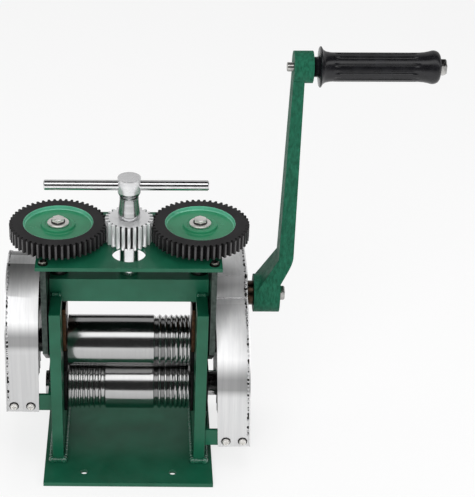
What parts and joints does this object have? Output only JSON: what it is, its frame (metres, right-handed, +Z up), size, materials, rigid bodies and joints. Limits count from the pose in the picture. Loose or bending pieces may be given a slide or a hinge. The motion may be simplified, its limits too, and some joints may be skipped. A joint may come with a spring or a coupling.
{
  "type": "jewellers rolling mill",
  "caption": "Hand cranked bench rolling mill with two steel rollers, wire grooves, a geared screw adjustment on top, a T handle and a side crank.",
  "frame": {"origin": "centre of the four bolt holes, on the underside of the base plate", "axes": "+X along the rollers towards the crank, +Y away from the operator, +Z up"},
  "size_m": [0.3772, 0.159, 0.38],
  "materials": {
    "green_paint": "gloss",
    "dark_gear": "gloss",
    "bare_steel": "satin",
    "polished_steel": "polished",
    "dark_steel": "oiled",
    "blackened_steel": "blackened",
    "zinc_steel": "bright",
    "bronze": "dull",
    "galvanised_sheet": "brushed",
    "black_grip": "gloss"
  },
  "bodies": {
    "frame": {"base_plate": "green_paint", "left_upright": "green_paint", "right_upright": "green_paint", "yoke_bar": "green_paint", "frame_welds": "green_paint", "left_lower_bearing": "blackened_steel", "right_lower_bearing": "blackened_steel", "crank_bushes": "bronze", "left_guard": "galvanised_sheet", "right_guard": "galvanised_sheet", "left_guard_brackets": "green_paint", "right_guard_brackets": "green_paint", "guard_screws": "zinc_steel"},
    "lifting_carriage": {"top_plate": "green_paint", "left_hanger": "bare_steel", "right_hanger": "bare_steel", "plate_bolts": "zinc_steel", "left_upper_bearing": "bronze", "right_upper_bearing": "bronze"},
    "t_handle": {"centre_pinion": "bare_steel", "pinion_spindle": "polished_steel", "t_post": "polished_steel", "t_bar": "polished_steel"},
    "left_screw": {"left_adjust_screw": "dark_steel", "left_adjust_gear": "dark_gear", "left_gear_washer": "zinc_steel", "left_gear_bolt": "zinc_steel"},
    "right_screw": {"right_adjust_screw": "dark_steel", "right_adjust_gear": "dark_gear", "right_gear_washer": "zinc_steel", "right_gear_bolt": "zinc_steel"},
    "crank": {"crank_shaft": "bare_steel", "drive_pinion": "dark_steel", "crank_collar": "dark_steel", "crank_arm": "green_paint", "crank_bolt": "zinc_steel", "handle_axle": "zinc_steel"},
    "grip": {"handle_grip": "black_grip"},
    "upper_roller_shaft": {"upper_roller": "polished_steel", "driven_gear": "dark_steel", "upper_sync_gear": "dark_steel", "upper_roller_nuts": "dark_steel"},
    "lower_roller_shaft": {"lower_roller": "polished_steel", "lower_sync_gear": "dark_steel", "lower_roller_nut": "dark_steel"}
  },
  "joints": [
    {"name": "t_handle_spin", "type": "hinge", "parent": "lifting_carriage", "child": "t_handle", "pos_m": [0, 0, 0.25], "axis": [0, 0, 1], "range_deg": [-1875, 0]},
    {"name": "carriage_lift", "type": "slide", "parent": "frame", "child": "lifting_carriage", "axis": [0, 0, 1], "range_m": [0, 0.005]},
    {"name": "left_screw_spin", "type": "hinge", "parent": "lifting_carriage", "child": "left_screw", "pos_m": [-0.062, 0, 0.22], "axis": [0, 0, 1], "range_deg": [0, 900]},
    {"name": "right_screw_spin", "type": "hinge", "parent": "lifting_carriage", "child": "right_screw", "pos_m": [0.062, 0, 0.22], "axis": [0, 0, 1], "range_deg": [0, 900]},
    {"name": "crank_spin", "type": "hinge", "parent": "frame", "child": "crank", "pos_m": [0, 0.031, 0.1382], "axis": [1, 0, 0], "continuous": true},
    {"name": "grip_spin", "type": "hinge", "parent": "crank", "child": "grip", "pos_m": [0.2, 0.031, 0.3625], "axis": [1, 0, 0], "continuous": true},
    {"name": "upper_roller_spin", "type": "hinge", "parent": "lifting_carriage", "child": "upper_roller_shaft", "pos_m": [0, 0, 0.1057], "axis": [1, 0, 0], "continuous": true},
    {"name": "lower_roller_spin", "type": "hinge", "parent": "frame", "child": "lower_roller_shaft", "pos_m": [0, 0, 0.0583], "axis": [1, 0, 0], "continuous": true}
  ],
  "couplings": [
    {"joint": "t_handle_spin", "follows": "carriage_lift", "rad_per_m": -6545},
    {"joint": "left_screw_spin", "follows": "carriage_lift", "rad_per_m": 3141.6},
    {"joint": "right_screw_spin", "follows": "carriage_lift", "rad_per_m": 3141.6},
    {"joint": "upper_roller_spin", "follows": "crank_spin", "ratio": -0.4},
    {"joint": "lower_roller_spin", "follows": "crank_spin", "ratio": 0.4}
  ]
}
